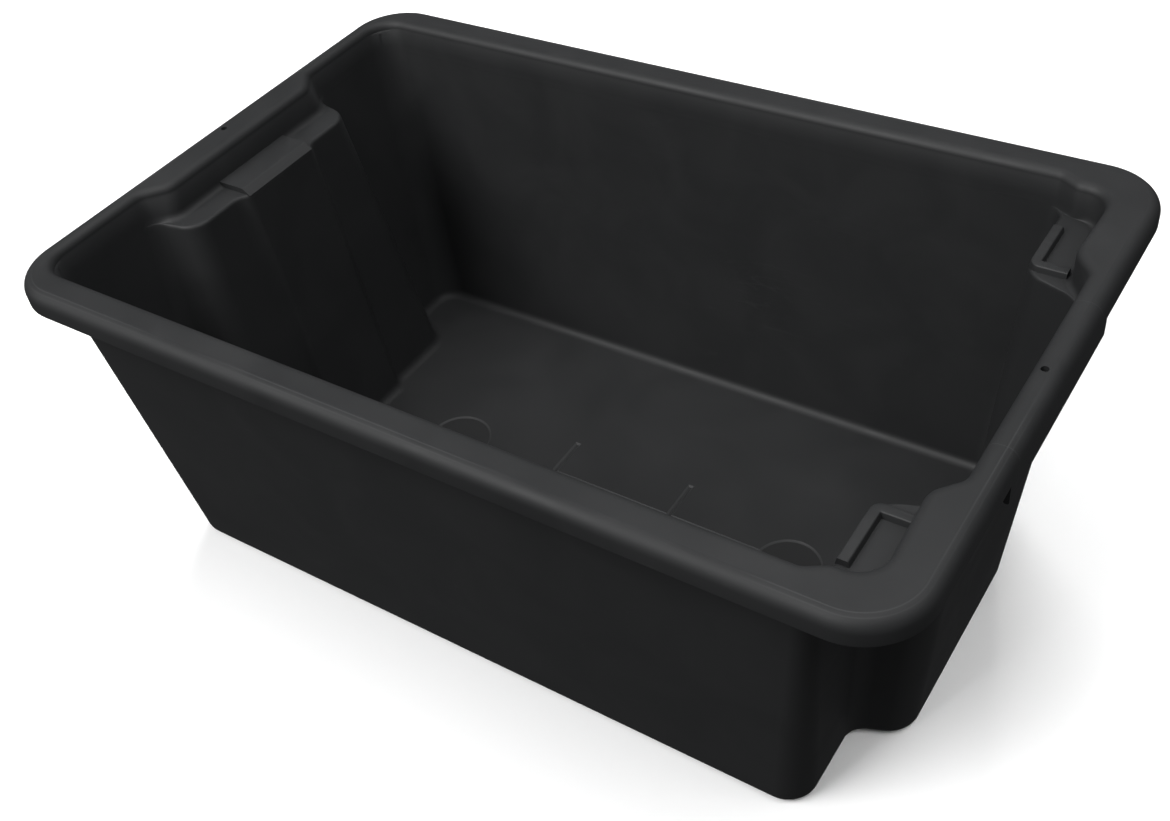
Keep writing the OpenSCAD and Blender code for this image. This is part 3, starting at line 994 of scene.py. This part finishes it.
# name, place, size, watts, and whether it shows in reflections
lights = [
    ("keySoftbox", (-0.9, -1.8, 2.2), (1.6, 1.5), 88, True),
    ("topSoftbox", (0.4, 0.3, 2.4), (2.0, 1.6), 22, True),
    ("rightCard", (1.2, -0.3, 2.1), (1.4, 1.2), 26, False),
    ("backCard", (-0.9, 1.9, 1.2), (1.4, 1.2), 60, False),
]


def buildFloor():
    mesh = bpy.data.meshes.new("studioFloor")
    r = studio["floorHalf"]
    mesh.from_pydata([(-r, -r, 0), (r, -r, 0), (r, r, 0), (-r, r, 0)], [], [(0, 1, 2, 3)])
    ground = bpy.data.objects.new("studioFloor", mesh)
    scene.collection.objects.link(ground)
    paint = bpy.data.materials.new("palePaper")
    paint.use_nodes = True
    shader = paint.node_tree.nodes["Principled BSDF"]
    shader.inputs["Base Color"].default_value = studio["floorColour"]
    shader.inputs["Roughness"].default_value = 0.9
    shader.inputs["Specular IOR Level"].default_value = 0.1
    mesh.materials.append(paint)
    # keeps the white floor from lighting and mirroring in the outside walls
    ground.visible_glossy = ground.visible_diffuse = False


def softLight(name, where, size, power, reflects):
    data = bpy.data.lights.new(name, "AREA")
    data.shape, data.size, data.size_y = "RECTANGLE", size[0], size[1]
    data.energy = power
    lamp = bpy.data.objects.new(name, data)
    scene.collection.objects.link(lamp)
    lamp.location = where
    lamp.rotation_mode = "QUATERNION"
    lamp.rotation_quaternion = (Vector(studio["lightsAim"]) - Vector(where)).to_track_quat("-Z", "Y")
    lamp.visible_glossy = reflects


def buildCamera():
    az, el, roll = (math.radians(studio[k]) for k in ("azimuth", "elevation", "roll"))
    look = Vector((-math.sin(az) * math.cos(el), math.cos(az) * math.cos(el), -math.sin(el)))
    level = Vector((math.cos(az), math.sin(az), 0))
    above = level.cross(look)
    right = math.cos(roll) * level + math.sin(roll) * above
    up = -math.sin(roll) * level + math.cos(roll) * above
    data = bpy.data.cameras.new("studioCamera")
    data.lens, data.sensor_width = studio["lens"], 36.0
    data.clip_start, data.clip_end = 0.05, 50.0
    camera = bpy.data.objects.new("studioCamera", data)
    scene.collection.objects.link(camera)
    turn = Matrix((right, up, -look)).transposed().to_4x4()
    camera.matrix_world = Matrix.Translation(studio["eye"]) @ turn
    scene.camera = camera


buildFloor()
world = bpy.data.worlds.new("studioWorld")
world.use_nodes = True
world.node_tree.nodes["Background"].inputs["Color"].default_value = studio["worldColour"]
world.node_tree.nodes["Background"].inputs["Strength"].default_value = studio["worldStrength"]
scene.world = world
for light in lights:
    softLight(*light)
scene.view_settings.view_transform = "Standard"
buildCamera()
print("studio lit")
